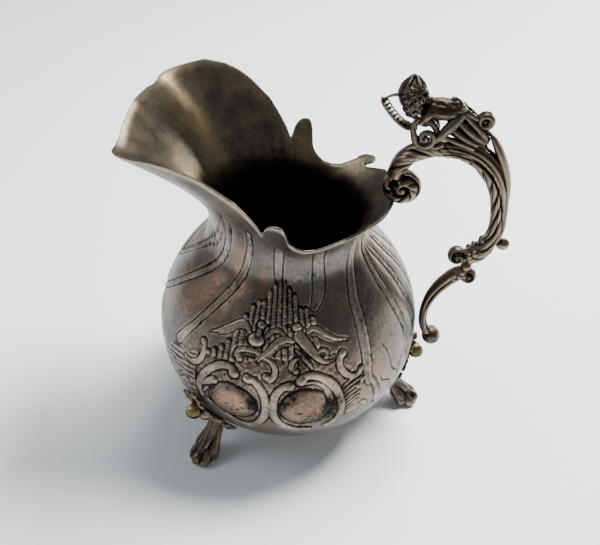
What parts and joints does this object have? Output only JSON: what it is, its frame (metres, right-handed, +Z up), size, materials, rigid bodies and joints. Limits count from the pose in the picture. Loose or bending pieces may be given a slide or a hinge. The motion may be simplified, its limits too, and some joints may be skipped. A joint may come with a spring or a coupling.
{
  "type": "cream jug",
  "caption": "Small pear-bodied chased silver cream jug with a very wide spout, a scalloped rim, cast scroll feet and a scroll handle with a reclining putto.",
  "frame": {"origin": "on the table under the middle of the whole jug's box; the axis of the belly is at x = -0.0089", "axes": "+X towards the handle, -X towards the spout, +Z up; y = 0 is the mirror plane"},
  "size_m": [0.083, 0.065, 0.0958],
  "materials": {
    "sheet_silver": "stamped and chased silver, tarnished grey-brown with near-black hollows and worn bright relief",
    "cast_silver": "cast silver, dark brown tarnish with worn bright ridges",
    "gilt_bead": "worn yellow metal, dull gloss"
  },
  "bodies": {
    "root": {"body_near_half": "sheet_silver", "body_far_half": "sheet_silver", "base_plate": "sheet_silver", "foot_leg_handle": "cast_silver", "foot_leg_near": "cast_silver", "foot_leg_far": "cast_silver", "foot_bracket_handle": "cast_silver", "foot_bracket_near": "cast_silver", "foot_bracket_far": "cast_silver", "foot_bead_handle": "gilt_bead", "foot_bead_near": "gilt_bead", "foot_bead_far": "gilt_bead", "handle_upper_scroll": "cast_silver", "handle_back_leaf": "cast_silver", "handle_bud": "cast_silver", "handle_lower_scroll": "cast_silver", "figure_scroll_near": "cast_silver", "figure_scroll_far": "cast_silver", "figure_crest": "cast_silver", "figure_drape": "cast_silver", "putto_body": "cast_silver", "putto_head": "cast_silver", "heel_scroll": "cast_silver", "heel_bead": "cast_silver"}
  },
  "joints": []
}
